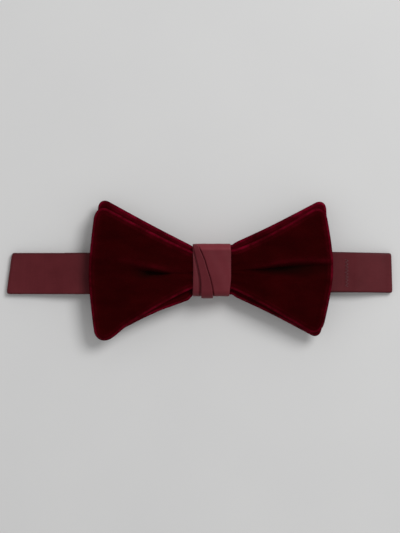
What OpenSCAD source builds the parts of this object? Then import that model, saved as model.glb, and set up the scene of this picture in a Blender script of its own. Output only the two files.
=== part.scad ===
// Ready-tied bow tie: two velvet blades gathered in a satin knot, on an adjustable satin
// neckband that is folded flat behind the bow, with its hook and eye unfastened.
// Frame: +Z out of the bow's face, +X to the viewer's right, +Y up. Millimetres.
// Origin: on the surface that the tie lies on, straight behind the knot's centre.

/* [Blades] */
// Knot's centre to the outer edge of the front blade
front_reach = 60; // [56:1:64]
// Knot's centre to the outer edge of the rear blade
rear_reach = 57.5; // [54:0.5:62]
// Height of the front blade at its corners, before they are rounded
front_height = 64; // [56:1:66]
// Height of the rear blade at its corners, before they are rounded
rear_height = 72; // [66:1:74]
// How much further out an outer edge is at its middle than at its corners
edge_bulge = 4.5; // [2:0.5:7]
// Radius of the blades' corners
corner_r = 5; // [4:0.5:9]
// How far the wings rise above the waist
wing_rise = 2; // [1.5:0.5:3]
// How far the outer ends of the wings sink again
wing_droop = 1.2; // [0:0.2:1.6]
// Depth of the pleat just outside the knot
pleat_depth = 3.6; // [2.4:0.2:4.4]
// How far the long edges roll back
edge_curl = 3; // [0:0.5:4]
// Thickness of the velvet face of a blade
velvet_t = 1; // [0.8:0.1:1.2]
// Thickness of the canvas inside a blade
canvas_t = 0.5; // [0.4:0.1:0.6]
// Thickness of the backing of a blade
backing_t = 0.9; // [0.7:0.1:1]

/* [Knot] */
// Width of the knot across the bow
knot_w = 19.4; // [17:0.2:22]
// Height of both blades' gathered waist, inside the knot
waist_h = 23.2; // [22.8:0.2:24]
// Height of the front blade's waist
front_waist_h = 19; // [16:0.5:21]
// Thickness of the satin wrap
wrap_t = 0.7; // [0.6:0.1:1]
// How far the tuck in the wrap stands proud
tuck_t = 0.8; // [0.4:0.1:1]

/* [Neckband] */
// Width of the neckband
band_w = 20; // [18:0.5:20]
// How far the neckband's middle line is above the knot's centre
band_y = -1.5; // [-1.5:0.1:1.5]
// Thickness of one strand
band_t = 0.8; // [0.7:0.05:0.9]
// Clear gap between the strands behind the bow
strand_gap = 4.4; // [4.4:0.1:5.5]
// Height of the band's two pressed folds
fold_h = 3.2; // [2.8:0.1:4]
// Knot's centre to the left fold
left_reach = 100; // [96:0.5:110]
// Knot's centre to the right fold
right_reach = 88.5; // [86:0.5:100]

/* [Hardware] */
// Radius of the round rods that the band loops around
rod_r = 0.7; // [0.6:0.05:0.8]
// Place of the eye's rod
eye_x = -59; // [-62:1:-58]
// Place of the hook's rod
hook_x = -33; // [-34:1:-31]
// Place of the adjuster's rod
slide_x = 34; // [33:1:35]
// Outer width of the eye and the hook
fitting_w = 24; // [23.5:0.1:25]
// Thickness of the stamped metal
metal_t = 0.8; // [0.7:0.1:0.9]

/* [Hidden] */
$fn = 64;

velvet_colour = [0.24, 0.01, 0.03];
backing_colour = [0.2, 0.02, 0.04];
satin_colour = [0.34, 0.13, 0.16];
canvas_colour = [0.85, 0.82, 0.75];
thread_colour = [0.28, 0.08, 0.1];
metal_colour = [0.75, 0.75, 0.77];
label_colour = [0.12, 0.1, 0.11];

lie = 0.05;                            // gap between plies that lie on each other
ease = 0.1;                            // gap where one piece slides or turns on another
nest = 0.15;                           // gap between the blades, and under the rear one
thread_r = 0.18;

knot_x = knot_w / 2;                   // the knot's side edge
front_band_z = band_t + strand_gap;    // underside of the front strand
blade_t = velvet_t + canvas_t + backing_t + 2 * lie;
rear_z = front_band_z + band_t + nest; // underside of the rear blade, in the pleat's valley
front_z = rear_z + blade_t + nest;
waist_relief = 3;                      // ridge height of the gathers inside the knot
outer_relief = 1;                      // ridge height at the wings' outer edges

// Inside of the knot, then its canvas and its wrap, each one ply further out
cavity_low = front_band_z - ease;
cavity_high = front_z + blade_t + waist_relief + 0.25;
cavity_h = waist_h + 0.4;
knot_canvas_t = 0.3;
knot_mid_z = (cavity_low + cavity_high) / 2;
knot_low = cavity_low - knot_canvas_t - lie - wrap_t;

fold_r = fold_h / 2;                   // outer radius of the band's folds
wrap_in = rod_r + ease;                // inner radius of the band around a rod
wrap_out = wrap_in + band_t;
slide_lift = 0.8;                      // height of the strand where the adjuster runs
ramp = 3;                              // length of the strand's ramp up to that height
low_end = 14;                          // where the strand starts to rise
high_end = right_reach - 12;           // where it comes down again
loop_leg = 14;                         // length of a loop's legs behind its rod
take_up_end = -1.5;                    // inner end of the long band
stitch_leg = 12;                       // end of the adjuster's sewn turn-back
slide_travel = 34;                     // how far the adjuster runs along the long strand
bar_t = 0.7;                           // thickness of the adjuster's end bars
slide_half = 6.8;                      // half length of the adjuster
rod_z = band_t + ease + rod_r;         // rods of the hook and the eye
slide_rod_z = slide_lift + band_t + ease + wrap_out;

// ---- Helpers ----

function smooth(t) = let (c = min(max(t, 0), 1)) c * c * (3 - 2 * c);

// Draws a profile of X and Z, and runs it across the band
module across(width) {
    rotate([90, 0, 0]) linear_extrude(width, center = true) children();
}

// Draws a profile of Y and Z, and runs it along the bow
module along(length) {
    rotate([90, 0, 90]) linear_extrude(length, center = true) children();
}

module rounded(w, h, r) {
    square([w - 2 * r, h], center = true);
    square([w, h - 2 * r], center = true);
    for (sx = [-1, 1], sy = [-1, 1])
        translate([sx * (w / 2 - r), sy * (h / 2 - r)]) circle(r);
}

// A row of separate stitches along Y, each lying at an angle to X
module stitches(count, pitch, length, angle = 0) {
    for (i = [0 : count - 1])
        translate([0, (i - (count - 1) / 2) * pitch, 0])
            rotate([0, 90, (i % 2 == 0 ? 1 : -1) * angle])
                cylinder(r = thread_r, h = length, center = true, $fn = 16);
}

// ---- Blades ----
// Both blades follow one height field, so that they nest in the knot and never touch.

flare = 1.05;                          // above 1, the long edges are hollow
valley_w = 2.8;                        // half width of the pleat's valley at the knot
valley_spread = 0.16;                  // how much wider it is for each unit further out
deepen_run = 11;                       // length over which the pleat gets its full depth
flatten_x = 24;                        // where the pleat starts to flatten, and over what length
flatten_run = 34;
rise_run = 26;                         // length over which a wing rises
droop_x = 36;                          // where it starts to sink
curl_run = 30;                         // length over which the long edges start to roll back

function half_height(ax, waist, corner, reach) =
    waist + (corner - waist) * pow(max(ax - knot_x, 0) / (reach - edge_bulge - knot_x), flare);

function rear_half(ax) = half_height(ax, waist_h / 2, rear_height / 2, rear_reach);

function relief(ax) =
    waist_relief + (pleat_depth - waist_relief) * smooth((ax - knot_x) / deepen_run)
    - (pleat_depth - outer_relief) * smooth((ax - flatten_x) / flatten_run);

function rise(ax) =
    wing_rise * smooth((ax - knot_x) / rise_run) - wing_droop * smooth((ax - droop_x) / rise_run);

function curl(ax, y) =
    edge_curl * smooth((ax - knot_x) / curl_run) * pow(abs(y) / rear_half(ax), 4);

function field(x, y) = let (ax = abs(x), w = valley_w + valley_spread * max(ax - knot_x, 0))
    rise(ax) + relief(ax) * (1 - exp(-pow(y / w, 2))) - curl(ax, y);

// Rounds the corners of the square -1..1: beyond the share s of each side, a quarter disc
function round_corner(u, v, su, sv) = let (
        a = (abs(u) - 1 + su) / su,
        b = (abs(v) - 1 + sv) / sv
    )
    a > 0 && b > 0
        ? [sign(u) * (1 - su + su * a * sqrt(1 - b * b / 2)),
           sign(v) * (1 - sv + sv * b * sqrt(1 - a * a / 2))]
        : [u, v];

function blade_point(u, v, waist, corner, reach) = let (
        c = round_corner(u, v, corner_r / reach, corner_r / corner),
        x = c[0] * (reach - edge_bulge * c[1] * c[1])
    )
    [x, c[1] * half_height(abs(x), waist, corner, reach)];

blade_columns = 40;
blade_rows = 12;

// One ply of a blade: a closed sheet of both wings, z0 above the field and t thick.
// skip leaves out that many strips of its grid along every edge.
module ply(waist, corner, reach, z0, t, skip = 0) {
    columns = blade_columns - 2 * skip;
    rows = blade_rows - 2 * skip;
    grid = [for (i = [0 : columns]) for (j = [0 : rows]) blade_point(
        2 * (i + skip) / blade_columns - 1,
        sin(90 * (2 * (j + skip) / blade_rows - 1)),
        waist, corner, reach
    )];
    n = len(grid);
    stride = rows + 1;
    quads = [for (i = [0 : columns - 1]) for (j = [0 : rows - 1])
        let (a = i * stride + j) [a, a + 1, a + stride + 1, a + stride]];
    rim = concat(
        [for (i = [0 : columns - 1]) i * stride],
        [for (j = [0 : rows - 1]) columns * stride + j],
        [for (i = [columns : -1 : 1]) i * stride + rows],
        [for (j = [rows : -1 : 1]) j]
    );
    points = concat(
        [for (p = grid) [p[0], p[1], z0 + t + field(p[0], p[1])]],
        [for (p = grid) [p[0], p[1], z0 + field(p[0], p[1])]]
    );
    faces = concat(
        [for (q = quads) each [[q[0], q[1], q[2]], [q[0], q[2], q[3]]]],
        [for (q = quads) each [[n + q[2], n + q[1], n + q[0]], [n + q[3], n + q[2], n + q[0]]]],
        [for (k = [0 : len(rim) - 1])
            let (a = rim[k], b = rim[(k + 1) % len(rim)]) each [[a, b, n + b], [a, n + b, n + a]]]
    );
    polyhedron(points, faces, convexity = 6);
}

module front_ply(z, t, skip = 0)
    ply(front_waist_h / 2, front_height / 2, front_reach, front_z + z, t, skip);

module rear_ply(z, t, skip = 0)
    ply(waist_h / 2, rear_height / 2, rear_reach, rear_z + z, t, skip);

canvas_z = backing_t + lie;
velvet_z = canvas_z + canvas_t + lie;

module front_velvet() { color(velvet_colour) front_ply(velvet_z, velvet_t); }
module front_canvas() { color(canvas_colour) front_ply(canvas_z, canvas_t, 1); }
module front_backing() { color(backing_colour) front_ply(0, backing_t); }
module rear_velvet() { color(velvet_colour) rear_ply(velvet_z, velvet_t); }
module rear_canvas() { color(canvas_colour) rear_ply(canvas_z, canvas_t, 1); }
module rear_backing() { color(backing_colour) rear_ply(0, backing_t); }

// ---- Knot ----

// A closed band around the waist: its inside is the cavity grown by grow, and it is t thick
module knot_ring(grow, t, r, length) {
    h = cavity_high - cavity_low + 2 * grow;
    translate([0, 0, knot_mid_z]) along(length) difference() {
        rounded(cavity_h + 2 * (grow + t), h + 2 * t, r + t);
        rounded(cavity_h + 2 * grow, h, r);
    }
}

knot_corner_r = 0.5;
wrap_grow = knot_canvas_t + lie;

module knot_wrap() {
    color(satin_colour) knot_ring(wrap_grow, wrap_t, knot_corner_r + wrap_grow, knot_w);
}

module knot_canvas() {
    color(canvas_colour) knot_ring(0, knot_canvas_t, knot_corner_r, knot_w - 1);
}

// The tuck starts as a point at the top left, widens down the front and turns under the knot
module knot_tuck() {
    outline = [[-8.6, 10.4], [-7, 2.4], [-5.9, -2.3], [-5.4, -14],
               [0.4, -14], [-1.4, -3.9], [-4.1, 5], [-7, 10.4]];
    grow = wrap_grow + wrap_t + lie;
    color(satin_colour) intersection() {
        knot_ring(grow, tuck_t, knot_corner_r + grow, knot_w);
        translate([0, 0, knot_low + 2]) linear_extrude(20) polygon(outline);
    }
}

module knot_seam_stitches() {
    pitch = 2.6;
    color(thread_colour) translate([0, 0, knot_low - lie - thread_r])
        for (i = [-3 : 3]) translate([i * pitch, 0, 0]) rotate([90, 0, 0])
            cylinder(r = thread_r, h = 2.4, center = true, $fn = 16);
}

// ---- Strands ----

wall_t = 0.22;                         // the satin's own thickness in a strand
canvas_play = 0.03;
canvas_w = band_w - 2;
pocket_w = canvas_w + 0.4;             // width of the hollow that holds the canvas

// A hollow flat strand, and the canvas strip inside it
module sleeve(x0, x1, z) {
    translate([x0, -band_w / 2, z]) difference() {
        cube([x1 - x0, band_w, band_t]);
        translate([-1, (band_w - pocket_w) / 2, wall_t])
            cube([x1 - x0 + 2, pocket_w, band_t - 2 * wall_t]);
    }
}

module strip(x0, x1, z) {
    translate([x0, -canvas_w / 2, z + wall_t + canvas_play])
        cube([x1 - x0, canvas_w, band_t - 2 * (wall_t + canvas_play)]);
}

// The half turn of the band at a fold, opening towards +X
module half_turn(r_out) {
    across(band_w) difference() {
        circle(r_out);
        circle(r_out - band_t);
        translate([0, -r_out - 1]) square(2 * r_out + 2);
    }
}

fold_left = fold_r - left_reach;       // where the front strand meets its folds
fold_right = right_reach - fold_r;
ease_out = 1;                          // its level stretch beside each fold

// The front strand's own line: level above the fittings, and sinking to a fold on each side
module front_profile(x0, x1, z0, z1) {
    sunk = fold_h - band_t;
    level_left = eye_x - wrap_out - 2;
    level_right = slide_x + slide_travel + wrap_out + 1;
    line = [
        [x0, sunk], [fold_left + ease_out, sunk], [level_left, front_band_z],
        [level_right, front_band_z], [fold_right - ease_out, sunk], [x1, sunk]
    ];
    polygon(concat(
        [for (p = line) [p[0], p[1] + z0]],
        [for (i = [len(line) - 1 : -1 : 0]) [line[i][0], line[i][1] + z1]]
    ));
}

module front_band() {
    color(satin_colour) difference() {
        across(band_w) front_profile(fold_left, fold_right, 0, band_t);
        across(pocket_w) front_profile(fold_left - 1, fold_right + 1, wall_t, band_t - wall_t);
    }
}

module front_band_canvas() {
    play = wall_t + canvas_play;
    color(canvas_colour) across(canvas_w)
        front_profile(fold_left + 0.5, fold_right - 0.5, play, band_t - play);
}

module left_fold() {
    color(satin_colour) translate([fold_left, 0, fold_r]) half_turn(fold_r);
}

module right_fold() {
    color(satin_colour) translate([fold_right, 0, fold_r]) mirror([1, 0, 0]) half_turn(fold_r);
}

fold_gap = 0.75;                       // the crease, where a rear strand hinges on its fold
short_start = fold_left + fold_gap;
short_end = eye_x - loop_leg;
long_start = fold_right - fold_gap;

module short_band() {
    color(satin_colour) sleeve(short_start, short_end, 0);
}

module short_band_canvas() {
    color(canvas_colour) strip(short_start + 1, short_end - 1, 0);
}

// The long strand's own line: low at both ends, and raised where the adjuster runs under it
module long_profile(x0, x1, z0, z1) {
    polygon([
        [x0, z0], [low_end, z0], [low_end + ramp, slide_lift + z0],
        [high_end, slide_lift + z0], [high_end + ramp, z0], [x1, z0],
        [x1, z1], [high_end + ramp, z1], [high_end, slide_lift + z1],
        [low_end + ramp, slide_lift + z1], [low_end, z1], [x0, z1]
    ]);
}

module long_band() {
    color(satin_colour) difference() {
        across(band_w) long_profile(take_up_end, long_start, 0, band_t);
        across(pocket_w) long_profile(take_up_end - 1, long_start + 1, wall_t, band_t - wall_t);
    }
}

module long_band_canvas() {
    play = wall_t + canvas_play;
    color(canvas_colour) across(canvas_w)
        long_profile(take_up_end + 1, long_start - 1, play, band_t - play);
}

// The stretch of band that is drawn in or let out as the adjuster moves the hook
module take_up_ply() {
    x0 = hook_x + loop_leg;
    color(satin_colour) translate([x0, -band_w / 2, 0])
        cube([take_up_end - lie - x0, band_w, band_t]);
}

// ---- Loops around the rods ----

// The band around a rod at the origin: two legs towards +X, the far one coming down to z1
module rod_loop(leg, far_leg, z1) {
    slope = 5;
    across(band_w) {
        difference() {
            circle(wrap_out);
            circle(wrap_in);
            translate([0, -wrap_out - 1]) square(2 * wrap_out + 2);
        }
        translate([-0.01, -wrap_out]) square([leg + 0.01, band_t]);
        polygon([
            [-0.01, wrap_in], [slope, z1], [far_leg, z1],
            [far_leg, z1 + band_t], [slope, z1 + band_t], [1, wrap_out], [-0.01, wrap_out]
        ]);
    }
}

module eye_loop() {
    color(satin_colour) translate([eye_x, 0, rod_z]) mirror([1, 0, 0])
        rod_loop(loop_leg - lie, loop_leg - 1, band_t + ease - rod_z);
}

module hook_loop() {
    color(satin_colour) translate([hook_x, 0, rod_z])
        rod_loop(loop_leg - lie, loop_leg - lie, band_t + ease - rod_z);
}

module tail_wrap() {
    color(satin_colour) translate([slide_x, 0, slide_rod_z]) mirror([1, 0, 0])
        rod_loop(stitch_leg, stitch_leg - 0.5, 0.05 - wrap_in);
}

// The tail runs straight from the adjuster to the hook's loop, above the long strand
module tail_ply() {
    x0 = hook_x + loop_leg;
    color(satin_colour) translate([x0, -band_w / 2, slide_lift + band_t + ease])
        cube([slide_x - stitch_leg - lie - x0, band_w, band_t]);
}

// ---- Metal fittings ----

// A stamped frame around a rod at the origin, reaching length along +X. The band goes
// through its first slot, and a second one takes the hook where slot_end is above 0.
module fitting(length, slot_end) {
    inner = band_w / 2 + 0.3;
    back = 0.9;
    hook_slot_w = 14;
    rotate([90, 0, 0]) cylinder(r = rod_r, h = 2 * inner + 1.4, center = true);
    difference() {
        translate([(length - back) / 2, 0, 0]) linear_extrude(metal_t, center = true)
            rounded(length + back, fitting_w, 1.2);
        translate([-2, -inner, -2]) cube([2 + slot_x, 2 * inner, 4]);
        if (slot_end > 0)
            translate([slot_x + rim_w, -hook_slot_w / 2, -2])
                cube([slot_end - slot_x - rim_w, hook_slot_w, 4]);
    }
}

slot_x = wrap_out + 0.5;               // the band's slot ends here, clear of the loop
rim_w = 1.8;                           // width of the metal around the slots
eye_length = slot_x + 7;

module eye() {
    color(metal_colour) translate([eye_x, 0, rod_z]) fitting(eye_length, eye_length - rim_w);
}

// The tongue runs out flat, curls up and comes back over itself
module hook() {
    tongue_w = 9;
    tip = slot_x + 6;
    curl_in = 0.5;
    curl_z = metal_t / 2 + curl_in;
    back_l = 3.4;
    color(metal_colour) translate([hook_x, 0, rod_z]) mirror([1, 0, 0]) {
        fitting(slot_x + rim_w, 0);
        across(tongue_w) {
            translate([slot_x + 1, -metal_t / 2]) square([tip - slot_x - 1, metal_t]);
            translate([tip, curl_z]) difference() {
                circle(curl_in + metal_t);
                circle(curl_in);
                translate([-10, -5]) square(10);
            }
            translate([tip - back_l, curl_z + curl_in]) square([back_l, metal_t]);
        }
    }
}

// Two flat bars under the strand, two arched rails, and the rod that the tail is sewn around
module adjuster_slide() {
    rail_in = band_w / 2 + 0.4;
    rail_t = 1.5;
    rail_low = 1.1;
    rail_high = slide_rod_z + 0.8;
    bar_w = 1.6;
    color(metal_colour) translate([slide_x, 0, 0]) {
        for (side = [-1, 1]) {
            translate([0, side * (rail_in + rail_t / 2), 0]) across(rail_t) polygon([
                [-slide_half, 0], [slide_half, 0], [slide_half, rail_low],
                [1.8, rail_high], [-1.8, rail_high], [-slide_half, rail_low]
            ]);
            translate([side > 0 ? slide_half - bar_w : -slide_half, -rail_in - 0.1, 0])
                cube([bar_w, 2 * rail_in + 0.2, bar_t]);
        }
        translate([0, 0, slide_rod_z]) rotate([90, 0, 0])
            cylinder(r = rod_r, h = 2 * rail_in + rail_t, center = true);
    }
}

// ---- Stitching and label ----

tack_x = 66;                           // the tack on the front strand, beside the right wing
tack_y = 0.8;

module band_bar_tack() {
    color(thread_colour) translate([tack_x, tack_y, front_band_z + band_t + lie + thread_r])
        stitches(12, 1.2, 1.8, 18);
}

module eye_bar_tack() {
    color(thread_colour)
        translate([eye_x - loop_leg + 3.5, 0, 2 * band_t + ease + lie + thread_r])
            stitches(14, 1.3, 2.2, 14);
}

module tail_bar_tack() {
    color(thread_colour)
        translate([slide_x - 9, 0, slide_rod_z + 0.05 - wrap_in + band_t + lie + thread_r])
            stitches(14, 1.3, 2.2, 14);
}

label_x = -24;
label_size = [18, 12, 0.25];
label_z = front_band_z - lie - label_size[2];

module blank_label() {
    color(label_colour) translate([label_x - label_size[0] / 2, -label_size[1] / 2, label_z])
        cube(label_size);
}

module label_stitches() {
    color(thread_colour)
        for (side = [-1, 1])
            translate([label_x + side * (label_size[0] / 2 - 1), 0, label_z - lie - thread_r])
                stitches(8, 1.3, 0.9);
}

// ---- Node switch ----

// The neckband and its fittings lie on one middle line, a little below the knot's centre
module on_band() {
    translate([0, band_y, 0]) children();
}

front_velvet();
front_canvas();
front_backing();
rear_velvet();
rear_canvas();
rear_backing();
knot_wrap();
knot_canvas();
knot_tuck();
knot_seam_stitches();
on_band() front_band();
on_band() front_band_canvas();
on_band() left_fold();
on_band() right_fold();
on_band() band_bar_tack();
on_band() blank_label();
on_band() label_stitches();
on_band() short_band();
on_band() short_band_canvas();
on_band() eye_loop();
on_band() eye_bar_tack();
on_band() eye();
on_band() long_band();
on_band() long_band_canvas();
on_band() take_up_ply();
on_band() adjuster_slide();
on_band() tail_wrap();
on_band() tail_bar_tack();
on_band() tail_ply();
on_band() hook_loop();
on_band() hook();
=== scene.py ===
"""The bow tie's looks: velvet blades, a satin knot, and a satin neckband with metal fittings.

Lengths in this file are in millimetres until a mesh is made, in the frame of the CAD model:
+X to the viewer's right, +Y up across the bow, +Z out of its face, and the surface that it
lies on at Z = 0. The folds' creases, the floor and the light are in metres.
"""

import math

import bmesh
import bpy
import numpy as np
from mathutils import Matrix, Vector


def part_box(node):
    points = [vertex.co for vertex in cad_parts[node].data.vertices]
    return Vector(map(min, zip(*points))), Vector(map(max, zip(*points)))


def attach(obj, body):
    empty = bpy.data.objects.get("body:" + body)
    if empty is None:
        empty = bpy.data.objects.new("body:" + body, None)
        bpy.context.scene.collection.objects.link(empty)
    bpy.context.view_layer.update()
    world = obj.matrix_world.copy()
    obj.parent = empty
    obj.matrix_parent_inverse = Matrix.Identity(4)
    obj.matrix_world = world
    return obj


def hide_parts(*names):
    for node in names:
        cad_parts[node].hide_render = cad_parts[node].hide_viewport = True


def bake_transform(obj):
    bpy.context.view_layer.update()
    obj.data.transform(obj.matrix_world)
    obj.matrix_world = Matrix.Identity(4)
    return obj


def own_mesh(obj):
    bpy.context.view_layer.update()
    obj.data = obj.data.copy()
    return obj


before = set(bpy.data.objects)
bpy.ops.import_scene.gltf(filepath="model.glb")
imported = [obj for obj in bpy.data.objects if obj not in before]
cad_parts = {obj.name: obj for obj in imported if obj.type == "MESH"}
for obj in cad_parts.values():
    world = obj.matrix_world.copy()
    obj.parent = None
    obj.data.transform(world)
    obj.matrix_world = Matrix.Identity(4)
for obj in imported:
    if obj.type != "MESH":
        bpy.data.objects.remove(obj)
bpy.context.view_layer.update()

MM = 0.001


def low(node):
    """A CAD node's lowest corner at rest, in millimetres."""
    return [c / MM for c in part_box(node)[0]]


def high(node):
    """A CAD node's highest corner at rest, in millimetres."""
    return [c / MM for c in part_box(node)[1]]


def middle_of(node):
    """The middle of a CAD node's box at rest, in millimetres."""
    return [(a + b) / 2 for a, b in zip(low(node), high(node))]


# ---- Places, worked out from the frame ----

KNOT_X = high("knot_wrap")[0]
KNOT_LOW, KNOT_HIGH = low("knot_wrap")[2], high("knot_wrap")[2]
KNOT_Y = high("knot_wrap")[1]
BAND_W = high("front_band")[1] - low("front_band")[1]
BAND_Y = middle_of("front_band")[1]
STRAND_T = high("short_band")[2] - low("short_band")[2]
FRONT_Z = high("front_band")[2] - STRAND_T / 2      # the front strand's middle behind the bow,
SUNK_Z = high("left_fold")[2] - STRAND_T / 2        # and at the folds
REAR_Z = STRAND_T / 2
FOLD_R = (SUNK_Z - REAR_Z) / 2
LEFT_FOLD_X = low("left_fold")[0] + STRAND_T / 2 + FOLD_R
RIGHT_FOLD_X = high("right_fold")[0] - STRAND_T / 2 - FOLD_R


def smooth(t):
    """0 below 0 and 1 above 1, with an easy turn between them."""
    c = np.clip(t, 0.0, 1.0)
    return c * c * (3 - 2 * c)


def bell(t):
    return np.exp(-np.square(t))


# ---- Materials ----


class Nodes:
    """A material's node tree, with short names for what this file adds to one."""

    def __init__(self, name):
        self.material = bpy.data.materials.new(name)
        self.material.use_nodes = True
        self.tree = self.material.node_tree
        self.shader = self.tree.nodes["Principled BSDF"]

    def add(self, kind, settings=None, **inputs):
        node = self.tree.nodes.new(kind)
        for key, value in (settings or {}).items():
            setattr(node, key, value)
        for key, value in inputs.items():
            self.feed(node, key.replace("_", " "), value)
        return node

    def feed(self, node, socket, value):
        if isinstance(value, bpy.types.NodeSocket):
            self.tree.links.new(value, node.inputs[socket])
        else:
            node.inputs[socket].default_value = value

    def coordinates(self, which="Object"):
        return self.add("ShaderNodeTexCoord").outputs[which]

    def attribute(self, name):
        """A value that new_piece stored on the mesh's points."""
        return self.add("ShaderNodeAttribute", {"attribute_name": name}).outputs["Fac"]

    def stretched(self, vector, scale):
        return self.add("ShaderNodeMapping", Vector=vector, Scale=scale).outputs["Vector"]

    def noise(self, vector, size, detail=2.0, roughness=0.5):
        """Noise whose spots are about size millimetres across."""
        return self.add("ShaderNodeTexNoise", Vector=vector, Scale=1 / (size * MM),
                        Detail=detail, Roughness=roughness).outputs["Fac"]

    def maths(self, operation, a, b=0.0):
        node = self.add("ShaderNodeMath", {"operation": operation})
        self.feed(node, 0, a)
        self.feed(node, 1, b)
        return node.outputs[0]

    def range(self, value, from_low, from_high, to_low=0.0, to_high=1.0):
        return self.add("ShaderNodeMapRange", Value=value, From_Min=from_low, From_Max=from_high,
                        To_Min=to_low, To_Max=to_high).outputs["Result"]

    def mix(self, factor, a, b):
        node = self.add("ShaderNodeMix", {"data_type": "RGBA"})
        self.feed(node, 0, factor)
        self.feed(node, 6, (*a, 1) if isinstance(a, tuple) else a)
        self.feed(node, 7, (*b, 1) if isinstance(b, tuple) else b)
        return node.outputs[2]

    def bump(self, height, depth, strength=1.0, under=None):
        """A bump that is depth millimetres deep where height goes from 0 to 1."""
        node = self.add("ShaderNodeBump", Height=height, Distance=depth * MM, Strength=strength)
        if under is not None:
            self.feed(node, "Normal", under)
        return node.outputs["Normal"]

    def finish(self, **inputs):
        for key, value in inputs.items():
            self.feed(self.shader, key.replace("_", " "), value)
        return self.material


def velvet():
    """Velvet. One stored value paints a sheen near turned edges, along each pleat's crest and on
    the upper edges; fold paints shade into each pleat's hollow, more where it is deep and shut in."""
    n = Nodes("velvet")
    place = n.coordinates()
    pile = n.noise(place, 0.35, 3)
    brushed = n.noise(n.stretched(place, (0.5, 1, 1)), 9, 4, 0.6)
    tone = n.maths("ADD", n.maths("MULTIPLY", pile, 0.45), n.maths("MULTIPLY", brushed, 0.55))
    colour = n.mix(n.range(tone, 0.35, 0.65), (0.0145, 0.0001, 0.0002), (0.029, 0.0004, 0.0008))
    patches = n.range(n.noise(place, 4.5, 3, 0.6), 0.34, 0.66, 0.35, 1.3)
    # Painted sheen: brighter crimson where the blades' stored sheen value says, in uneven patches
    painted_sheen_amount = n.maths("MULTIPLY", n.attribute("rim"), n.range(tone, 0.40, 0.60, 0.35, 1.0))
    colour = n.mix(n.maths("MULTIPLY", painted_sheen_amount, patches), colour, (0.150, 0.0012, 0.0125))
    # Painted shade, nearly black, in the pleats' hollows
    colour = n.mix(n.attribute("fold"), colour, (0.0045, 0.0018, 0.0008))
    bumps = n.bump(pile, 0.16, 0.7, n.bump(brushed, 0.3, 0.5))
    return n.finish(Base_Color=colour, Normal=bumps, Roughness=0.95, Specular_IOR_Level=0.02,
                    Sheen_Weight=0.07, Sheen_Roughness=0.4, Sheen_Tint=(0.9, 0.012, 0.04, 1))


SATIN_ROUGHNESS = (0.41, 0.55)


def satin(name, dark, light):
    """Satin with fine slubs. UV holds the way along the band and across it, in metres. lit says
    where a painted highlight makes it paler, and edge where painted shade makes it dark."""
    n = Nodes(name)
    place = n.coordinates("UV")
    along, across = (n.stretched(place, s) for s in ((1, 0.04, 1), (0.03, 1, 1)))
    slub = n.noise(along, 0.9, 3)
    warp = n.noise(across, 0.25, 2)
    cloud = n.noise(n.coordinates(), 14, 3)
    tone = n.maths("ADD", n.maths("MULTIPLY", slub, 0.16), n.maths("MULTIPLY", warp, 0.18))
    tone = n.maths("ADD", tone, n.maths("MULTIPLY", cloud, 0.66))
    colour = n.mix(n.range(tone, 0.36, 0.64), dark, light)
    # Painted highlight: a paler copy of the light tone
    colour = n.mix(n.attribute("lit"), colour, tuple(1.35 * c for c in light))
    # Painted shade: a darker copy of the dark tone
    colour = n.mix(n.attribute("edge"), colour, tuple(0.3 * c for c in dark))
    shine = n.range(slub, 0.3, 0.7, *SATIN_ROUGHNESS)
    bumps = n.bump(warp, 0.03, 0.4, n.bump(slub, 0.03, 0.3, n.bump(cloud, 0.25, 0.25)))
    return n.finish(Base_Color=colour, Normal=bumps, Roughness=shine, Specular_IOR_Level=0.12,
                    Sheen_Weight=0.05, Sheen_Roughness=0.4, Sheen_Tint=(0.9, 0.3, 0.35, 1))


def lining():
    """Smooth lining satin, cut on the blades' length."""
    n = Nodes("lining")
    place = n.coordinates()
    twill = n.noise(n.stretched(place, (0.15, 1, 1)), 0.2, 2)
    cloud = n.noise(place, 11, 3)
    tone = n.maths("ADD", n.maths("MULTIPLY", twill, 0.4), n.maths("MULTIPLY", cloud, 0.6))
    colour = n.mix(n.range(tone, 0.35, 0.65), (0.05, 0.0045, 0.0085), (0.082, 0.009, 0.015))
    bumps = n.bump(twill, 0.04, 0.6, n.bump(cloud, 0.4, 0.35))
    return n.finish(Base_Color=colour, Normal=bumps, Roughness=0.38, Specular_IOR_Level=0.4)


def thread():
    n = Nodes("thread")
    place = n.coordinates()
    twist = n.noise(n.stretched(place, (1, 2, 1)), 0.12, 2)
    colour = n.mix(n.range(twist, 0.35, 0.65), (0.055, 0.008, 0.012), (0.12, 0.022, 0.03))
    return n.finish(Base_Color=colour, Normal=n.bump(twist, 0.05, 0.8), Roughness=0.5,
                    Specular_IOR_Level=0.35, Sheen_Weight=0.2)


def label_cloth():
    n = Nodes("label_cloth")
    place = n.coordinates()
    weave = n.add("ShaderNodeTexChecker", Vector=place, Scale=1 / (0.16 * MM)).outputs["Fac"]
    cloud = n.noise(place, 4, 3)
    colour = n.mix(n.range(cloud, 0.3, 0.7), (0.012, 0.009, 0.01), (0.028, 0.021, 0.024))
    return n.finish(Base_Color=colour, Normal=n.bump(weave, 0.03, 0.7), Roughness=0.55,
                    Specular_IOR_Level=0.35)


def nickel():
    """Nickel plate on stamped steel, with a fine grain and duller spots where it has worn."""
    n = Nodes("nickel")
    place = n.coordinates()
    grain = n.noise(n.stretched(place, (1, 0.08, 1)), 0.12, 3)
    worn = n.noise(place, 2.4, 4, 0.65)
    colour = n.mix(n.range(worn, 0.4, 0.75), (0.7, 0.69, 0.68), (0.5, 0.48, 0.46))
    rough = n.maths("ADD", n.range(grain, 0.3, 0.7, 0.14, 0.3), n.range(worn, 0.5, 0.8, 0.0, 0.2))
    return n.finish(Base_Color=colour, Normal=n.bump(grain, 0.02, 0.5), Roughness=rough,
                    Metallic=1.0)


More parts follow.
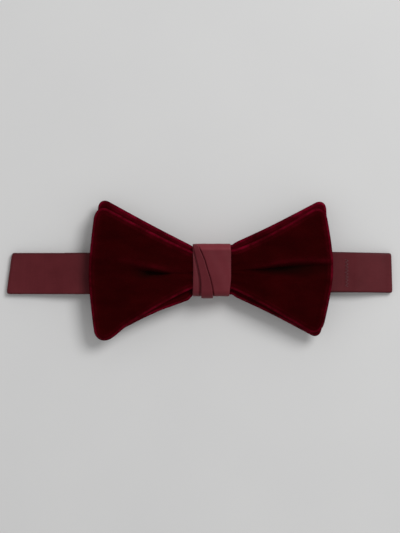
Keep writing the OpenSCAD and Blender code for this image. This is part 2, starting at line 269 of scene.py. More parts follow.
MATERIALS = {
    "velvet": velvet(),
    "backing_satin": lining(),
    "knot_satin": satin("knot_satin", (0.116, 0.0142, 0.0205), (0.145, 0.0195, 0.0275)),
    "band_satin": satin("band_satin", (0.082, 0.0087, 0.0125), (0.110, 0.0138, 0.0188)),
    "thread": thread(),
    "label": label_cloth(),
    "metal": nickel(),
}

# ---- Making meshes ----


def new_piece(name, points, faces, slot, uv=None, values=None):
    """A mesh object from points in millimetres. uv gives each point's place on the cloth, and
    values what its material reads by name, one number for each point."""
    mesh = bpy.data.meshes.new(name)
    mesh.from_pydata([tuple(p) for p in np.asarray(points) * MM], [], faces)
    if uv is not None:
        layer = mesh.uv_layers.new(name="cloth")
        corners = np.empty(len(mesh.loops), np.int32)
        mesh.loops.foreach_get("vertex_index", corners)
        layer.data.foreach_set("uv", (np.asarray(uv)[corners] * MM).astype(np.float32).ravel())
    for key, numbers in (values or {}).items():
        layer = mesh.attributes.new(key, "FLOAT", "POINT")
        layer.data.foreach_set("value", np.asarray(numbers, np.float32).ravel())
    work = bmesh.new()
    work.from_mesh(mesh)
    bmesh.ops.remove_doubles(work, verts=work.verts, dist=1e-7)
    bmesh.ops.recalc_face_normals(work, faces=work.faces)
    work.to_mesh(mesh)
    work.free()
    mesh.shade_smooth()
    mesh.materials.append(MATERIALS[slot])
    piece = bpy.data.objects.new(name, mesh)
    bpy.context.scene.collection.objects.link(piece)
    return piece


def grid_faces(rows, columns, first=0, loop=False, flip=False):
    faces = []
    for i in range(rows if loop else rows - 1):
        for j in range(columns - 1):
            a, b = first + i * columns + j, first + (i + 1) % rows * columns + j
            faces.append((a, b, b + 1, a + 1) if flip else (a, a + 1, b + 1, b))
    return faces


def shell(name, top, bottom, slot, uv=None, loop=False, ends=True, values=None):
    """A closed piece of cloth between two grids of points, which meet along their long edges."""
    rows, columns = top.shape[:2]
    n = rows * columns
    faces = grid_faces(rows, columns, 0, loop) + grid_faces(rows, columns, n, loop, True)
    if ends and not loop:
        for i in (0, rows - 1):
            for j in range(columns - 1):
                a = i * columns + j
                quad = (a, n + a, n + a + 1, a + 1)
                faces.append(quad if i == 0 else quad[::-1])
    points = np.concatenate([top.reshape(-1, 3), bottom.reshape(-1, 3)])
    both = None if uv is None else np.concatenate([uv.reshape(-1, 2)] * 2)
    twice = {key: np.concatenate([v.ravel()] * 2) for key, v in (values or {}).items()}
    return new_piece(name, points, faces, slot, both, twice)


def edge_share(distance, radius):
    """How thick a cloth's turned edge is at a distance from the edge, as a share of the whole."""
    return np.sqrt(1 - np.square(1 - np.clip(distance / radius, 0, 1)))


def edge_spaced(count):
    """Places from -1 to 1, closer together near both ends."""
    t = np.linspace(-1, 1, count)
    return 0.55 * np.sin(t * math.pi / 2) + 0.45 * (1.5 * t - 0.5 * t ** 3)


# ---- Blades ----

# A wing's outline: the waist's top and bottom, then its outer corners before they are rounded,
# the corners' radii, how far the outer edge bulges between them, how hollow each long edge is
# (1 is straight), how far both swell beside the knot, and how far the bottom one swells again
# before its corner.
FRONT_BLADE = {
    "left": dict(waist=(9.2, -9.3), top=(56.8, 33.0), bottom=(56.8, -36.9), radii=(7.6, 7.8),
                 bulge=3.7, hollow=(1.08, 1.14), swell=(0, 0), lobe=1.5),
    "right": dict(waist=(10.0, -9.4), top=(54.6, 33.2), bottom=(52.8, -33.7), radii=(8.0, 8.0),
                  bulge=5.6, hollow=(1.25, 1.10), swell=(0, 0)),
}
REAR_BLADE = {
    "left": dict(waist=(11.5, -11.5), top=(55.7, 36.3), bottom=(55.0, -34.8), radii=(6.5, 7.0),
                 bulge=1.5, hollow=(1.03, 1.05), swell=(0.3, 2.4)),
    "right": dict(waist=(12.0, -11.6), top=(55.7, 35.7), bottom=(52.9, -34.3), radii=(6.5, 5.5),
                  bulge=1.8, hollow=(1.03, 1.03), swell=(0.8, 0.9)),
}
BLADE_T = 2.2           # a blade's thickness without its lining
LINING_T = 0.25
LINING_INSET = 2.6      # from a blade's edge to its lining's
EDGE_R = 1.5            # radius of a blade's turned edge


def packed(count):
    """Places from -1 to 1, close together at both edges and at the pleat in the middle."""
    t = np.linspace(-1, 1, count)
    return t - 0.6 / (2 * math.pi) * np.sin(2 * math.pi * t)


def wing_grid(side, waist, top, bottom, radii, bulge, hollow, swell, lobe=0.0, inset=0.0,
              columns=84, rows=97):
    """A wing's points in the plane, from the knot out to its edge and from bottom to top."""
    u = (1 - (1 - np.linspace(0, 1, columns)) ** 1.45)[:, None] * np.ones(rows)
    v = packed(rows)[None, :] * np.ones((columns, 1))
    for sign, radius, corner in ((1, radii[0], top), (-1, radii[1], bottom)):
        su, sv = radius / corner[0], radius / abs(corner[1])
        a, b = (u - 1 + su) / su, (sign * v - 1 + sv) / sv
        inside = (a > 0) & (b > 0)
        a, b = np.clip(a, 0, 1), np.clip(b, 0, 1)
        u = np.where(inside, 1 - su + su * a * np.sqrt(1 - b * b / 2), u)
        v = np.where(inside, sign * (1 - sv + sv * b * np.sqrt(1 - a * a / 2)), v)
    share = (v + 1) / 2
    edge = bottom[0] + (top[0] - bottom[0]) * share + bulge * (1 - (v * v + 0.01) ** 0.7) - inset
    x = KNOT_X + (edge - KNOT_X) * u
    along = np.clip((x - KNOT_X) / (edge + inset - KNOT_X), 0, 1)
    beside = smooth((x - KNOT_X + 1.8) / 4) * bell((x - KNOT_X) / 14)
    y_top = waist[0] + (top[1] - waist[0]) * along ** hollow[0] + swell[0] * beside - inset
    y_bottom = waist[1] + (bottom[1] - waist[1]) * along ** hollow[1] - swell[1] * beside + inset
    y_bottom -= lobe * bell((along - 0.83) / 0.11)
    return np.stack([side * x, y_bottom + (y_top - y_bottom) * share], axis=2)


def blade_grid(outline, inset=0.0):
    """Both wings and the waist between them, from left to right."""
    left = wing_grid(-1, **outline["left"], inset=inset)[::-1]
    right = wing_grid(1, **outline["right"], inset=inset)
    inside = np.linspace(0, 1, 12)[1:-1, None, None]
    waist = left[-1] + (right[0] - left[-1]) * inside
    return np.concatenate([left, waist, right])


def along_wing(x, left, right):
    """A value that changes along each wing: (distance from the knot's centre, value) pairs."""
    on_left, on_right = (np.interp(np.abs(x), *zip(*pairs)) for pairs in (left, right))
    return np.where(x < 0, on_left, on_right)


def plateau(ax):
    """Height of the wings beside the pleat, above the waist's valley."""
    out = ax - KNOT_X
    ridge = 3.0 + 0.6 * smooth(out / 11) - 2.2 * smooth((ax - 24) / 36)
    return ridge + 2.0 * smooth(out / 26) - 1.0 * smooth((ax - 36) / 26)


# The pleat that runs out along each wing, as (distance from the knot's centre, value) pairs
PLEAT = {
    "centre": (((0, -1.0), (12, -2.0), (24, -1.8), (30, -1.5), (37, -1.3), (44, -1.2), (60, -1.0)),
               ((0, -1.0), (17, -0.4), (25, 0.1), (36, 1.2), (48, 2.0), (60, 2.2))),
    "depth": (((0, 0.8), (11, 0.4), (20, 0.6), (25, 4.0), (31, 4.8), (36, 2.6), (41, 0.6),
               (60, 0.2)),
              ((0, 0.8), (11, 0.3), (17, 0.6), (25, 3.4), (33, 5.0), (42, 4.0), (50, 2.4),
               (60, 1.6))),
    "above": (((0, 1.0), (11, 0.5), (21, 0.5), (28, 1.3), (36, 2.2), (44, 3.4), (60, 5.0)),
              ((0, 1.0), (11, 0.5), (20, 0.6), (30, 1.2), (42, 1.3), (60, 0.9))),
    "below": (((0, 1.0), (11, 0.5), (21, 0.6), (28, 1.6), (36, 2.8), (60, 6.0)),
              ((0, 1.0), (11, 0.5), (20, 0.8), (30, 2.3), (42, 4.0), (60, 4.4))),
}


def pleat(x, y):
    """How deep the pleat is at each point, and how much painted shade its hollow gets."""
    keys = ("centre", "depth", "above", "below")
    centre, depth, above, below = (along_wing(x, *PLEAT[key]) for key in keys)
    away = y - centre
    slope = np.abs(away / np.where(away > 0, above, below))
    # Painted shade: strongest where the pleat is deep, near its middle line
    pleat_shade = np.clip(depth / 4.6, 0, 1) ** 1.5 * np.exp(-(slope * 1.05) ** 2.4)
    return depth * np.exp(-slope ** 2.4), pleat_shade * smooth((np.abs(x) - KNOT_X + 3) / 3)


def crest(x, y):
    """The ridge above the pleat, where the velvet bends the other way."""
    away = y - along_wing(x, *PLEAT["centre"]) - 1.4 * along_wing(x, *PLEAT["above"]) - 1.0
    left = ((15, 0), (27, 1), (36, 0.8), (50, 0.1))
    right = ((15, 0), (27, 0.8), (36, 1.2), (60, 1.3))
    fade = along_wing(x, left, right)
    return fade * bell(away / 1.6)


def wing_field(x, y):
    """Height of both blades' middle above their place in the waist's valley."""
    ax, out = np.abs(x), np.abs(x) - KNOT_X
    half = 11.5 + 0.52 * np.clip(out, 0, None)
    curl = 3.0 * smooth(out / 30) * np.abs(y / half) ** 4
    depth, _ = pleat(x, y)
    fade = np.exp(-np.clip(out, 0, None) / 9)
    gathers = 0.34 * fade * np.cos(17 * y / half + 0.6 * np.sign(x))
    swell = 0.32 * smooth(out / 20) * np.sin(x / 13.0 + 0.8) * np.cos(y / 9.5 + x / 31.0)
    return plateau(ax) - depth + 0.75 * crest(x, y) - curl + gathers + swell


def edge_distance(grid):
    """Each point's distance from the outline of its grid."""
    outline = np.concatenate([grid[0], grid[-1], grid[:, 0], grid[:, -1]])
    flat = grid.reshape(-1, 2)
    best = np.full(len(flat), np.inf)
    for p in outline:
        best = np.minimum(best, np.hypot(*(flat - p).T))
    return best.reshape(grid.shape[:2])


def blade(name, outline, base, top_sheen):
    """A turned and pressed velvet shell, whose underside in the waist's valley is at base. The
    last argument says how strong a painted sheen its upper edge gets."""
    grid = blade_grid(outline)
    x, y = grid[..., 0], grid[..., 1]
    distance = edge_distance(grid)
    half = BLADE_T / 2 * edge_share(distance, EDGE_R)
    seam = 0.16 * bell((distance - 2.6) / 0.9) - 0.12 * bell((distance - 4.6) / 1.2)
    middle = base + LINING_T + BLADE_T / 2 + wing_field(x, y)
    top = np.dstack([x, y, middle + half + seam])
    bottom = np.dstack([x, y, middle - half])
    for edge in (np.s_[0], np.s_[-1], np.s_[:, 0], np.s_[:, -1]):
        top[edge][..., 2] = bottom[edge][..., 2] = middle[edge]
    # Painted sheen near the turned edge, along the seam line inside it, on the upper edge and on
    # the crest above each pleat
    rim = 0.85 * bell((distance - 0.6) / 0.6) + 0.14 * bell((distance - 2.3) / 0.5)
    rim += top_sheen * smooth(y / 8) * bell(distance / 3.5) + 0.16 * crest(x, y)
    # fold carries the painted shade in each pleat's hollow
    values = {"rim": np.clip(rim, 0, 1), "fold": 0.85 * pleat(x, y)[1]}
    piece = shell(name, top, bottom, "velvet", ends=False, values=values)
    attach(piece, "root")
    return piece


def blade_lining(name, outline, base):
    """The lining under a blade, felled on a little way in from its edge."""
    grid = blade_grid(outline, LINING_INSET)
    x, y = grid[..., 0], grid[..., 1]
    under = base + wing_field(x, y)
    thick = LINING_T * 0.8 * edge_share(edge_distance(grid), 0.3)
    top, bottom = np.dstack([x, y, under + thick]), np.dstack([x, y, under])
    piece = shell(name, top, bottom, "backing_satin", ends=False)
    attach(piece, "root")
    return piece


BAND_GAP = 0.15         # from the neckband to the rear blade's valley
BLADE_GAP = 0.2         # and from there to the front blade's, besides the cloth
VALLEY_Z = {"rear": high("front_band")[2] + BAND_GAP}
VALLEY_Z["front"] = VALLEY_Z["rear"] + BLADE_T + LINING_T + BLADE_GAP

front_blade = blade("front_blade", FRONT_BLADE, VALLEY_Z["front"], 0.08)
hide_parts("front_velvet", "front_canvas")
front_lining = blade_lining("front_blade_lining", FRONT_BLADE, VALLEY_Z["front"])
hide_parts("front_backing")
rear_blade = blade("rear_blade", REAR_BLADE, VALLEY_Z["rear"], 0.26)
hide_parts("rear_velvet", "rear_canvas")
rear_lining = blade_lining("rear_blade_lining", REAR_BLADE, VALLEY_Z["rear"])
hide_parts("rear_backing")

# ---- Knot ----

KNOT_WRAP_T = 0.9
CROWN = 0.35            # how much the knot's front is crowned
KNOT_FRONT_R = 3.0      # radii of the knot's long edges
KNOT_BACK_R = 1.4
KNOT_POINTS = 264       # points round the knot


def knot_loop():
    """The knot's outer outline: (y, z) points round it, starting behind it, and their normals."""
    pieces = []
    for y_sign, z_sign, start in ((1, -1, -90), (1, 1, 0), (-1, 1, 90), (-1, -1, 180)):
        r = KNOT_FRONT_R if z_sign > 0 else KNOT_BACK_R
        cy = y_sign * (KNOT_Y - r)
        cz = KNOT_HIGH - r if z_sign > 0 else KNOT_LOW + r
        for a in np.radians(np.linspace(start, start + 90, 12)):
            pieces.append((cy + r * math.cos(a), cz + r * math.sin(a)))
    ring = np.array(pieces + pieces[:1])
    steps = np.hypot(*np.diff(ring, axis=0).T)
    length = np.concatenate([[0], np.cumsum(steps)])
    at = np.linspace(0, length[-1], KNOT_POINTS, endpoint=False)
    loop = np.stack([np.interp(at, length, ring[:, k]) for k in (0, 1)], axis=1)
    ahead, behind = np.roll(loop, -1, axis=0), np.roll(loop, 1, axis=0)
    tangent = ahead - behind
    tangent /= np.hypot(*tangent.T)[:, None]
    return loop, np.stack([tangent[:, 1], -tangent[:, 0]], axis=1), at


def on_front(z):
    """1 on the knot's front, going to 0 down its sides."""
    return smooth((z - (KNOT_HIGH - 6)) / 5)


def crown(across, y, front):
    """How much the knot's front is crowned at each point."""
    return CROWN * front * (1 - np.square(across / KNOT_X)) * (1 - np.square(y / KNOT_Y))


# The tuck's two edges down the knot's front, as (y, x) pairs from the bottom up
TUCK_LEFT = ((-13, -5.4), (-5.7, -5.5), (-2.3, -6.0), (2.4, -7.0), (7.1, -8.2), (11, -9.2),
             (13, -9.4))
TUCK_RIGHT = ((-13, 0.4), (-8.6, -0.3), (-3.9, -1.4), (0.1, -2.7), (5, -4.1), (9, -5.8),
              (13, -7.6))


def knot_sides(across, loop, normal, middle, half):
    """Both sides of a cloth on the knot, whose middle lies off the knot's outline by middle."""
    ones = np.ones_like(across)
    base = np.dstack([across, loop[:, :1] * ones, loop[:, 1:] * ones])
    out = np.dstack([0 * ones, normal[:, :1] * ones, normal[:, 1:] * ones])
    top = base + out * (middle + half)[..., None]
    bottom = base + out * (middle - half)[..., None]
    for edge in (np.s_[:, 0], np.s_[:, -1]):
        top[edge] = bottom[edge] = (base + out * middle[..., None])[edge]
    return top, bottom


def knot_wrap():
    loop, normal, at = knot_loop()
    y, z = loop[:, 0], loop[:, 1]
    t = edge_spaced(132)
    left = -9.4 - 0.25 * np.square(y / KNOT_Y)
    right = 9.15 - 0.25 * smooth((y - 8) / 5) - 0.8 * smooth((-3 - y) / 10)
    across = left[:, None] + (right - left)[:, None] * (t[None, :] + 1) / 2
    ones = np.ones_like(across)
    yy = y[:, None] * ones
    front = on_front(z)[:, None]
    distance = np.minimum(across - left[:, None], right[:, None] - across)
    half = KNOT_WRAP_T / 2 * edge_share(distance, 0.9)
    # The left strip lies lower than the main panel, and the step between them is under the tuck
    tuck_left, tuck_right = (np.interp(yy, *zip(*edge)) for edge in (TUCK_LEFT, TUCK_RIGHT))
    step = (tuck_left + tuck_right) / 2
    strip = -0.45 * smooth((step - across) / 1.2 + 0.5)
    # A narrow channel on each side of the tuck, which fades out where its right edge runs in
    beside_left = bell((across - tuck_left + 0.45) / 0.7)
    beside_right = bell((across - tuck_right - 0.2) / 0.34)
    beside_right *= smooth((12.5 - yy) / 3)
    channel = -(0.65 * beside_left + 0.75 * beside_right)
    pull = 0.04 * np.sin(across * 0.9 + yy * 0.4) * front
    # Both fade out down the knot's sides, sooner on the lower one, where the blades' rims are near
    deep = smooth((z - np.where(y < 0, KNOT_HIGH - 4, KNOT_LOW + 2)) / 3)[:, None]
    middle = -KNOT_WRAP_T / 2 + crown(across, yy, front) + pull + (strip + channel) * deep
    top, bottom = knot_sides(across, loop, normal, middle, half)
    uv = np.dstack([at[:, None] * ones, across])
    # Painted highlight along the top of the knot's front, where it rounds over towards the light
    lit = 0.75 * smooth((yy - 9.2) / 1.0) * front
    # edge paints shade on the lower strip left of the tuck
    values = {"lit": lit, "edge": 0.13 * smooth((step - across) / 0.8)}
    piece = shell("knot_wrap_satin", top, bottom, "knot_satin", uv, loop=True, values=values)
    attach(piece, "root")
    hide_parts("knot_wrap", "knot_canvas")


def knot_tuck():
    """The fold that slants down the knot's front and turns under it."""
    loop, normal, at = knot_loop()
    keep = [i for i in range(len(loop)) if loop[i][1] > KNOT_LOW + 3 and loop[i][0] < 12.2]
    order = sorted(keep, key=lambda i: at[i])
    loop, normal, at = loop[order], normal[order], at[order]
    y, z = loop[:, 0], loop[:, 1]
    t = edge_spaced(36)
    left, right = (np.interp(y, *zip(*edge)) for edge in (TUCK_LEFT, TUCK_RIGHT))
    across = left[:, None] + (right - left)[:, None] * (t[None, :] + 1) / 2
    share = (t[None, :] + 1) / 2
    yy = y[:, None]
    distance = np.minimum(across - left[:, None], right[:, None] - across)
    half = 0.38 * edge_share(distance, 0.35)
    proud = 0.25 + 0.5 * smooth((9.5 - yy) / 20) - 0.5 * smooth((yy - 10.5) / 2.0)
    tilt = 0.9 * (share - 0.5) * smooth((12 - yy) / 6) * smooth((yy + 13) / 5)
    ones = np.ones_like(across)
    # Its lower end sinks into the wrap on the knot's underside
    sink = 1.1 * (1 - smooth((z[:, None] - KNOT_LOW - 3) / 4)) * (yy < 0)
    middle = proud + tilt - sink + crown(across, yy * ones, on_front(z)[:, None]) - 0.1
    top, bottom = knot_sides(across, loop, normal, middle, half)
    uv = np.dstack([at[:, None] * ones, across])
    # Painted shade over the whole tuck
    values = {"lit": 0 * ones, "edge": 0.12 * ones}
    piece = shell("knot_tuck_satin", top, bottom, "knot_satin", uv, values=values)
    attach(piece, "root")
    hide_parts("knot_tuck")


knot_wrap()
knot_tuck()

# ---- Neckband ----

SLIDE_TRAVEL = 34.0     # how far the adjuster runs along the long strand
slide_rod_x = middle_of("adjuster_slide")[0]
SLIDE_REACH = slide_rod_x + SLIDE_TRAVEL + 2
RAMP = 3.0              # length of the long strand's two ramps,
RAMP_IN = 17.0          # whose tops are here, on both sides of the adjuster's run
RAMP_OUT = high("right_fold")[0] - 12
NARROW = 0.02           # how much narrower a strand lies once it has turned


def ribbon(name, path, slot="band_satin", width=BAND_W, thickness=STRAND_T * 0.96, shift=None):
    """A flat band swept along a path of (x, z) points. shift(points, along) moves its points."""
    path = np.asarray(path, float)
    tangent = np.gradient(path, axis=0)
    tangent /= np.hypot(*tangent.T)[:, None]
    normal = np.stack([-tangent[:, 1], tangent[:, 0]], axis=1)
    along = np.concatenate([[0], np.cumsum(np.hypot(*np.diff(path, axis=0).T))])
    t = edge_spaced(26)
    y = width / 2 * t[None, :] * np.ones((len(path), 1))
    half = thickness / 2 * edge_share(width / 2 - np.abs(y), 0.55)
    ones = np.ones_like(y)
    uv = np.dstack([along[:, None] * ones, y])
    # Painted shade along both long edges of the band
    values = {"lit": 0 * ones, "edge": 0.5 * bell((width / 2 - np.abs(y)) / 0.45)}
    y = y + BAND_Y
    sides = []
    for sign in (1, -1):
        x = path[:, 0][:, None] + sign * normal[:, 0][:, None] * half
        z = path[:, 1][:, None] + sign * normal[:, 1][:, None] * half
        points = np.dstack([x, y, z])
        sides.append(points if shift is None else shift(points, along[:, None] * ones))
    for edge in (np.s_[:, 0], np.s_[:, -1]):
        sides[0][edge] = sides[1][edge] = (sides[0][edge] + sides[1][edge]) / 2
    piece = shell(name, *sides, slot, uv, values=values)
    return piece, width, along[-1]


def as_sheet(made, held, **more):
    piece, width, length = made
    return piece


def line(a, b, step=1.0):
    n = max(2, math.ceil(math.dist(a, b) / step) + 1)
    return [tuple(p) for p in np.linspace(a, b, n)]


def arc(centre, radius, start, end, steps=20):
    return [(centre[0] + radius * math.cos(a), centre[1] + radius * math.sin(a))
            for a in np.radians(np.linspace(start, end, steps))]


def joined(*parts):
    points = []
    for part in parts:
        points += [p for p in part if not points or math.dist(p, points[-1]) > 1e-6]
    return points


def front_strand(level_end, fold_x):
    """The front strand's path: level above the fittings, then sinking gently to its fold."""
    xs = np.linspace(0, fold_x, 100)
    sunk = smooth((xs - level_end) / (fold_x - level_end))
    return [(x, FRONT_Z - (FRONT_Z - SUNK_Z) * share) for x, share in zip(xs, sunk)]


def settle(points, along, fold_x, slant, drift):
    """How the real band lies: its fold slants, its front strand drifts off the band's middle
    line by (distance from the knot, drift) pairs, and its face isn't quite flat."""
    side, end = math.copysign(1, fold_x), abs(fold_x)
    x, y, z = points[..., 0].copy(), points[..., 1], points[..., 2].copy()
    out, across = side * x, points[..., 1] - BAND_Y
    front = 1 - smooth((along - end) / (math.pi * FOLD_R))
    corner = 0.4 * np.clip((np.abs(across) - 8) / 2, 0, 1) ** 2
    points[..., 0] = x + smooth((out - end + 16) / 16) * (slant * across - side * corner)
    points[..., 1] = y + front * np.interp(out, *zip(*drift)) - (1 - front) * NARROW * across
    points[..., 2] = z + front * 0.1 * np.sin(x / 6.1 + y / 8) * smooth((out - 14) / 8)
    return points


def left_neckband():
    path = joined(
        front_strand(low("eye")[0] - 2, LEFT_FOLD_X),
        arc((LEFT_FOLD_X, REAR_Z + FOLD_R), FOLD_R, 90, 270),
        line((LEFT_FOLD_X, REAR_Z), (low("eye_loop")[0], REAR_Z)),
    )

    def shift(points, along):
        return settle(points, along, LEFT_FOLD_X, 0.137, ((20, 0), (58, -0.3), (100, -0.3)))

    piece = as_sheet(ribbon("left_neckband", path, width=BAND_W + 0.2, shift=shift), "folded")
    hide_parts("front_band", "front_band_canvas", "left_fold", "short_band",
                "short_band_canvas")
    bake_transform(piece)


def long_strand(x):
    """Height of the long strand's middle: it is lifted where the adjuster runs under it."""
    lift = high("long_band")[2] - STRAND_T
    share = smooth((RAMP_OUT + RAMP - x) / RAMP) * smooth((x - RAMP_IN + RAMP) / RAMP)
    return REAR_Z + lift * float(share)


def right_neckband():
    end = low("long_band")[0]
    path = joined(
        front_strand(SLIDE_REACH, RIGHT_FOLD_X),
        arc((RIGHT_FOLD_X, REAR_Z + FOLD_R), FOLD_R, 90, -90),
        [(x, long_strand(x)) for x in np.arange(RIGHT_FOLD_X - 0.5, end, -0.5)],
        [(end, REAR_Z)],
    )

    def shift(points, along):
        return settle(points, along, RIGHT_FOLD_X, -0.03, ((42, 0), (59, 0.6), (88, 0)))

    piece = as_sheet(ribbon("right_neckband", path, width=BAND_W - 0.4, shift=shift), "folded")
    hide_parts("right_fold", "long_band", "long_band_canvas")
    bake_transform(piece)


left_neckband()
right_neckband()

# ---- Loops, tail and the ply below it ----

ROD_R = 0.7
EASE = 0.1                                  # gap where the band turns or slides on a piece
LEG_LIFT = 0.05                             # and the one under the tail's upper leg
TAIL_SETBACK = 0.6                          # how far that leg ends short of the lower one
WRAP_R = ROD_R + EASE + STRAND_T / 2        # the band's middle around a rod
SECOND_Z = STRAND_T + EASE + STRAND_T / 2   # and where it lies on another strand
TAIL_LEG_Z = STRAND_T / 2 + LEG_LIFT - ROD_R - EASE     # the upper leg, measured from its rod


def rod_loop(name, rod, z_rod, side, near_leg, far_leg, far_z):
    """The band around a rod. Both legs run away from the rod towards side, the near one below."""
    def at(x, z):
        return (rod + side * x, z_rod + z)

    turn = arc((0, 0), WRAP_R, 270, 90, 24)
    path = joined(
        [at(x, z) for x, z in line((near_leg, -WRAP_R), (0, -WRAP_R), 0.7)],
        [at(x, z) for x, z in turn],
        [at(x, WRAP_R + (far_z - WRAP_R) * float(smooth(x / 6)))
         for x in np.arange(0.3, far_leg, 0.3)],
        [at(far_leg, far_z)],
    )
    return as_sheet(ribbon(name, path), "folded")


eye_rod_x, eye_rod_z = low("eye")[0] + ROD_R, middle_of("eye_loop")[2]
eye_leg = eye_rod_x - low("eye_loop")[0]
eye_loop = rod_loop("eye_loop_band", eye_rod_x, eye_rod_z, -1, eye_leg, eye_leg - 1,
                    SECOND_Z - eye_rod_z)
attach(eye_loop, "left_strand")
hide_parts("eye_loop")

hook_rod_x, hook_rod_z = high("hook")[0] - ROD_R, middle_of("hook_loop")[2]
hook_leg = high("hook_loop")[0] - hook_rod_x
hook_loop = rod_loop("hook_loop_band", hook_rod_x, hook_rod_z, 1, hook_leg, hook_leg,
                     SECOND_Z - hook_rod_z)
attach(hook_loop, "hook_end")
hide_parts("hook_loop")

slide_rod_z = middle_of("tail_wrap")[2]
tail_leg = slide_rod_x - low("tail_wrap")[0]
tail_wrap = rod_loop("tail_turn", slide_rod_x, slide_rod_z, -1, tail_leg, tail_leg - TAIL_SETBACK,
                     TAIL_LEG_Z)
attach(tail_wrap, "slide")
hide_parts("tail_wrap")


def take_up_ply():
    x0, x1 = low("take_up_ply")[0], high("take_up_ply")[0]
    piece = as_sheet(ribbon("take_up_band", line((x0, REAR_Z), (x1, REAR_Z))), "laid")
    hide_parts("take_up_ply")
    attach(piece, "right_strand")
    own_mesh(piece)


def tail_ply():
    x0, x1 = low("tail_ply")[0], high("tail_ply")[0]
    z0, z1 = SECOND_Z, middle_of("tail_ply")[2]
    xs = np.append(np.arange(x0, x1, 0.8), x1)
    path = [(x, z0 + (z1 - z0) * float(smooth((x - x0 - 1) / 7))) for x in xs]
    piece = as_sheet(ribbon("tail_band", path), "folded")
    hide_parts("tail_ply")
    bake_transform(piece)


take_up_ply()
tail_ply()

# ---- Stitches ----


def stitches(name, spans, body, node, radius=0.17, rise=0.22):
    """Short lengths of thread, each bowed up between two points where it goes into the cloth."""
    points, faces, sides, rings = [], [], 8, 7
    for start, end, up in spans:
        start, end, up = (np.array(v, float) for v in (start, end, up))
        tangent = (end - start) / np.linalg.norm(end - start)
        across = np.cross(tangent, up)
        first = len(points)
        for k in range(rings):
            t = k / (rings - 1)
            centre = start + (end - start) * t + up * (rise * math.sin(math.pi * t) - radius * 0.6)
            r = radius * (0.55 + 0.45 * math.sin(math.pi * t))
            for s in range(sides):
                a = 2 * math.pi * s / sides
                points.append(centre + r * (across * math.cos(a) + up * math.sin(a)))
        for k in range(rings - 1):
            for s in range(sides):
                a, b = first + k * sides + s, first + k * sides + (s + 1) % sides
                faces.append((a, b, b + sides, a + sides))
        faces.append(tuple(range(first + sides - 1, first - 1, -1)))
        last = first + (rings - 1) * sides
        faces.append(tuple(range(last, last + sides)))
    piece = new_piece(name, points, faces, "thread")
    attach(piece, body)
    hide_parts(node)


TACK_LEAN = 0.35        # how far each thread of a bar tack leans
LOOP_TACK = (1.1, 22, 0.85)


def zigzag(x, z, half_length, count, pitch):
    """A bar tack across the band: count threads, each half_length to both sides of x."""
    spans = []
    for i in range(count):
        y = BAND_Y + (i - (count - 1) / 2) * pitch
        s = TACK_LEAN * (1 if i % 2 else -1)
        spans.append(((x - half_length, y - s, z), (x + half_length, y + s, z), (0, 0, 1)))
    return spans


band_tack = zigzag(middle_of("band_bar_tack")[0], high("front_band")[2], 0.8, 17, 0.8)
stitches("strap_bar_tack", band_tack, "root", "band_bar_tack", 0.14, 0.12)
eye_tack = zigzag(middle_of("eye_bar_tack")[0], SECOND_Z + STRAND_T / 2, *LOOP_TACK)
stitches("eye_loop_bar_tack", eye_tack, "left_strand", "eye_bar_tack")
tail_tack = zigzag(middle_of("tail_bar_tack")[0], slide_rod_z + TAIL_LEG_Z + STRAND_T / 2,
                   *LOOP_TACK)
stitches("tail_turn_bar_tack", tail_tack, "slide", "tail_bar_tack")
seam = [((x, -1.0, KNOT_LOW), (x + 0.9, 1.0, KNOT_LOW), (0, 0, -1))
        for x in np.arange(-8.4, 8.0, 1.5)]
stitches("knot_seam_stitching", seam, "root", "knot_seam_stitches")

# ---- Label ----

label_lo, label_hi = low("blank_label"), high("blank_label")
label_z = middle_of("blank_label")[2]
LABEL_T = 0.26
LABEL_STITCHES = 9      # at each of its ends
LABEL_PITCH = 1.3


def label():
    x0, x1 = label_lo[0], label_hi[0]
    w = label_hi[1] - label_lo[1]
    path = [(x, label_z + 0.05 * math.sin((x - x0) / 3.1)) for x in np.arange(x0, x1 + 0.1, 0.6)]
    piece = as_sheet(ribbon("neckband_label", path, "label", w, LABEL_T), "laid")
    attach(piece, "root")
    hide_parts("blank_label")
    spans = []
    for side in (x0 + 1.0, x1 - 1.0):
        for i in range(LABEL_STITCHES):
            y, z = BAND_Y + (i - LABEL_STITCHES // 2) * LABEL_PITCH, label_z - LABEL_T / 2
            spans.append(((side, y - 0.4, z), (side, y + 0.4, z), (0, 0, -1)))
    stitches("label_stitching", spans, "root", "label_stitches", 0.1, 0.1)


label()

# ---- Metal fittings keep their CAD shape ----

for node in ("eye", "hook", "adjuster_slide"):
    metal_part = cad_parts[node]
    metal_part.data.materials.clear()
    metal_part.data.materials.append(MATERIALS["metal"])

# ---- Floor, light and camera ----

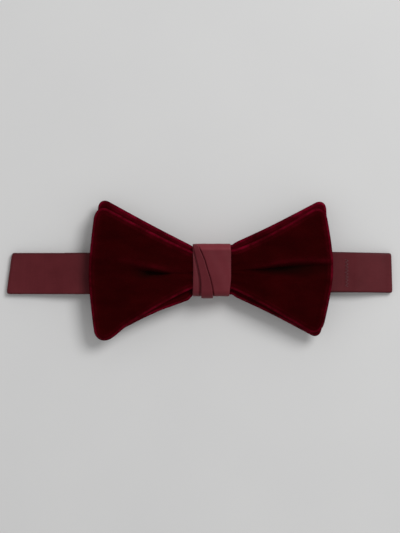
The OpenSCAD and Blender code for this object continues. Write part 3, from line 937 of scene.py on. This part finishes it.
VIEW_CENTRE = (-6.0, 1.7)       # what the middle of the picture shows
VIEW_HEIGHT = 261.0             # and how much of the surface it shows from top to bottom
CAMERA_HEIGHT = 1150.0          # above the bow's middle height
BOW_MIDDLE_Z = 8.0
SENSOR = 36.0
FLOOR_SIZE, FLOOR_Z = 6, -0.0002
WINDOW_PLACE = (0.59, 0.57, 1.08)
WINDOW_SIZE = 0.65
WINDOW_POWER = 9.35
SKY = 0.47


def floor():
    bpy.ops.mesh.primitive_plane_add(size=FLOOR_SIZE, location=(0, 0, FLOOR_Z))
    plane = bpy.context.object
    plane.name = "floor"
    n = Nodes("pale_surface")
    cloud = n.noise(n.coordinates(), 60, 3)
    colour = n.mix(n.range(cloud, 0.2, 0.8), (0.70, 0.70, 0.70), (0.725, 0.725, 0.722))
    plane.data.materials.append(n.finish(Base_Color=colour, Roughness=0.8, Specular_IOR_Level=0.2))


def area_light(name, place, size, power):
    """A round light, aimed at the middle of the frame."""
    light = bpy.data.lights.new(name, "AREA")
    light.shape, light.size, light.energy = "DISK", size, power
    lamp = bpy.data.objects.new(name, light)
    lamp.location = place
    lamp.rotation_euler = (-Vector(place)).to_track_quat("-Z", "Y").to_euler()
    bpy.context.scene.collection.objects.link(lamp)


def lights():
    area_light("window", WINDOW_PLACE, WINDOW_SIZE, WINDOW_POWER)
    world = bpy.data.worlds.new("studio")
    bpy.context.scene.world = world
    world.use_nodes = True
    background = world.node_tree.nodes["Background"]
    background.inputs["Color"].default_value = (1, 1, 1, 1)
    background.inputs["Strength"].default_value = SKY


def camera():
    data = bpy.data.cameras.new("camera")
    data.sensor_width = SENSOR
    data.lens = SENSOR * CAMERA_HEIGHT / VIEW_HEIGHT
    data.clip_start, data.clip_end = 0.01, 20
    cam = bpy.data.objects.new("camera", data)
    cam.location = (VIEW_CENTRE[0] * MM, VIEW_CENTRE[1] * MM, (CAMERA_HEIGHT + BOW_MIDDLE_Z) * MM)
    bpy.context.scene.collection.objects.link(cam)
    bpy.context.scene.camera = cam


floor()
lights()
camera()
bpy.context.scene.view_settings.view_transform = "Standard"
